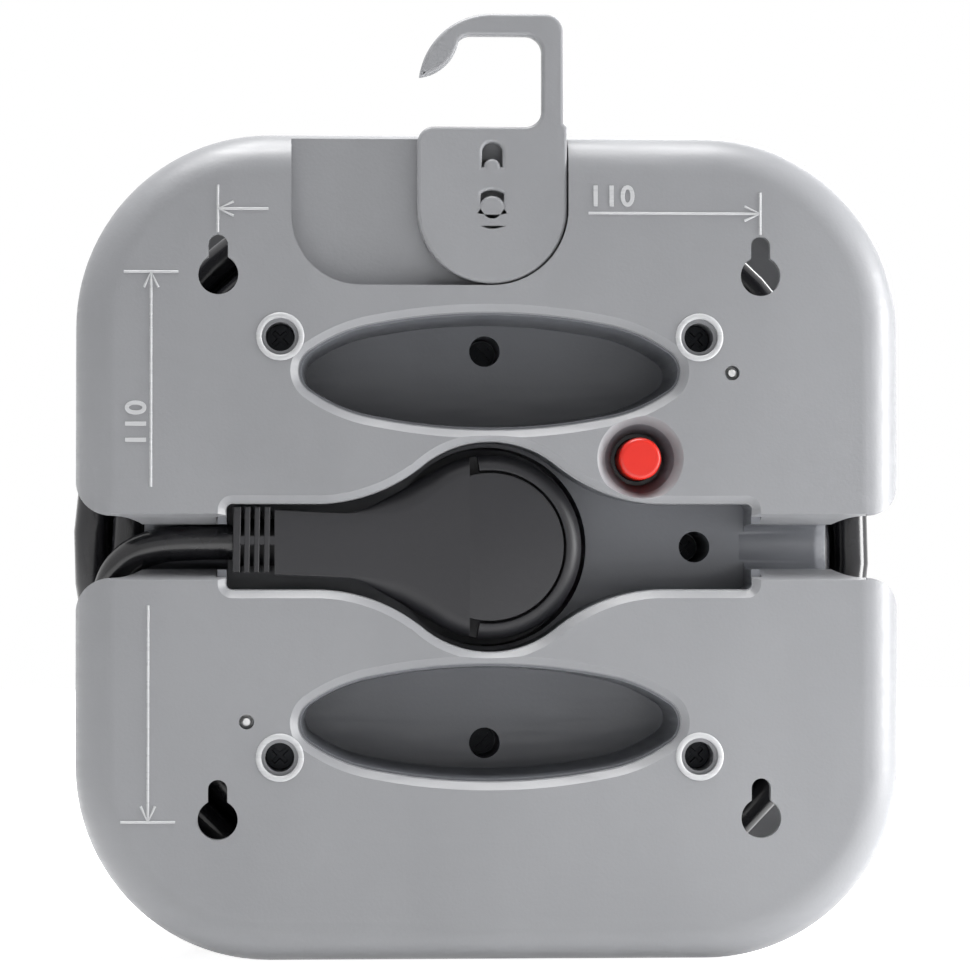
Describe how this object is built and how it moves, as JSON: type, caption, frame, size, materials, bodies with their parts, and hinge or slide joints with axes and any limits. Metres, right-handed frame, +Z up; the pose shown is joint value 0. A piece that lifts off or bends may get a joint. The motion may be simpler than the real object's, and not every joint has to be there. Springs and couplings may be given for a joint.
{
  "type": "extension cord reel",
  "caption": "Compact cable reel with square flanges, grip recesses, a parked right-angle plug, a swivel hook, keyholes for a wall and earthed sockets.",
  "frame": {"origin": "on the surface that the reel stands on, under the middle of its thickness and of its width", "axes": "+X to the right as seen from the rear, +Y from the rear face to the socket face, +Z up"},
  "size_m": [0.1693, 0.084, 0.1922],
  "materials": {
    "shell": "moulded light grey, satin",
    "core": "moulded dark grey, satin",
    "carrier": "moulded off-white",
    "plug": "fine matt",
    "cable": "glossy sheath",
    "button": "glossy red",
    "pins": "natural, satin",
    "wire": "insulated wire",
    "steel": "zinc plated",
    "brass": "stamped strip",
    "nickel": "nickel plated"
  },
  "bodies": {
    "reel": {"rear_shell_upper": "shell", "rear_shell_lower": "shell", "rear_core": "core", "front_core": "core", "front_shell": "shell", "socket_plate": "core", "contact_carrier": "carrier", "live_strip": "brass", "neutral_strip": "brass", "earth_frame": "steel", "thermal_cutout": "plug", "locating_pins": "pins", "shell_screws": "steel", "front_screws": "steel", "core_screws": "steel", "carrier_screw": "steel", "cable_tail": "cable", "cable_clamp": "plug", "clamp_screws": "steel", "internal_wires": "wire", "plug_body": "plug", "plug_face": "plug", "plug_pins": "nickel", "plug_earth_bars": "nickel", "plug_lead": "cable", "cable_winding": "cable", "cable_core": "cable"},
    "hook": {"hook": "shell"},
    "reset_button": {"reset_button": "button"},
    "shutter_1": {"shutter_1": "carrier"},
    "shutter_2": {"shutter_2": "carrier"},
    "shutter_3": {"shutter_3": "carrier"},
    "shutter_4": {"shutter_4": "carrier"}
  },
  "joints": [
    {"name": "hook_swing", "type": "hinge", "parent": "reel", "child": "hook", "pos_m": [0.0004, -0.0398, 0.1525], "axis": [0, -1, 0], "range_deg": [0, 90]},
    {"name": "reset_button_travel", "type": "slide", "parent": "reel", "child": "reset_button", "axis": [0, -1, 0], "range_m": [0, 0.0025]},
    {"name": "shutter_1_turn", "type": "hinge", "parent": "reel", "child": "shutter_1", "pos_m": [0.0204, 0.0215, 0.1044], "axis": [0, -1, 0], "range_deg": [0, 40], "stiffness_Nm_per_rad": 0.002},
    {"name": "shutter_2_turn", "type": "hinge", "parent": "reel", "child": "shutter_2", "pos_m": [-0.0204, 0.0215, 0.1044], "axis": [0, -1, 0], "range_deg": [0, 40], "stiffness_Nm_per_rad": 0.002},
    {"name": "shutter_3_turn", "type": "hinge", "parent": "reel", "child": "shutter_3", "pos_m": [-0.0204, 0.0215, 0.0636], "axis": [0, -1, 0], "range_deg": [0, 40], "stiffness_Nm_per_rad": 0.002},
    {"name": "shutter_4_turn", "type": "hinge", "parent": "reel", "child": "shutter_4", "pos_m": [0.0204, 0.0215, 0.0636], "axis": [0, -1, 0], "range_deg": [0, 40], "stiffness_Nm_per_rad": 0.002}
  ]
}
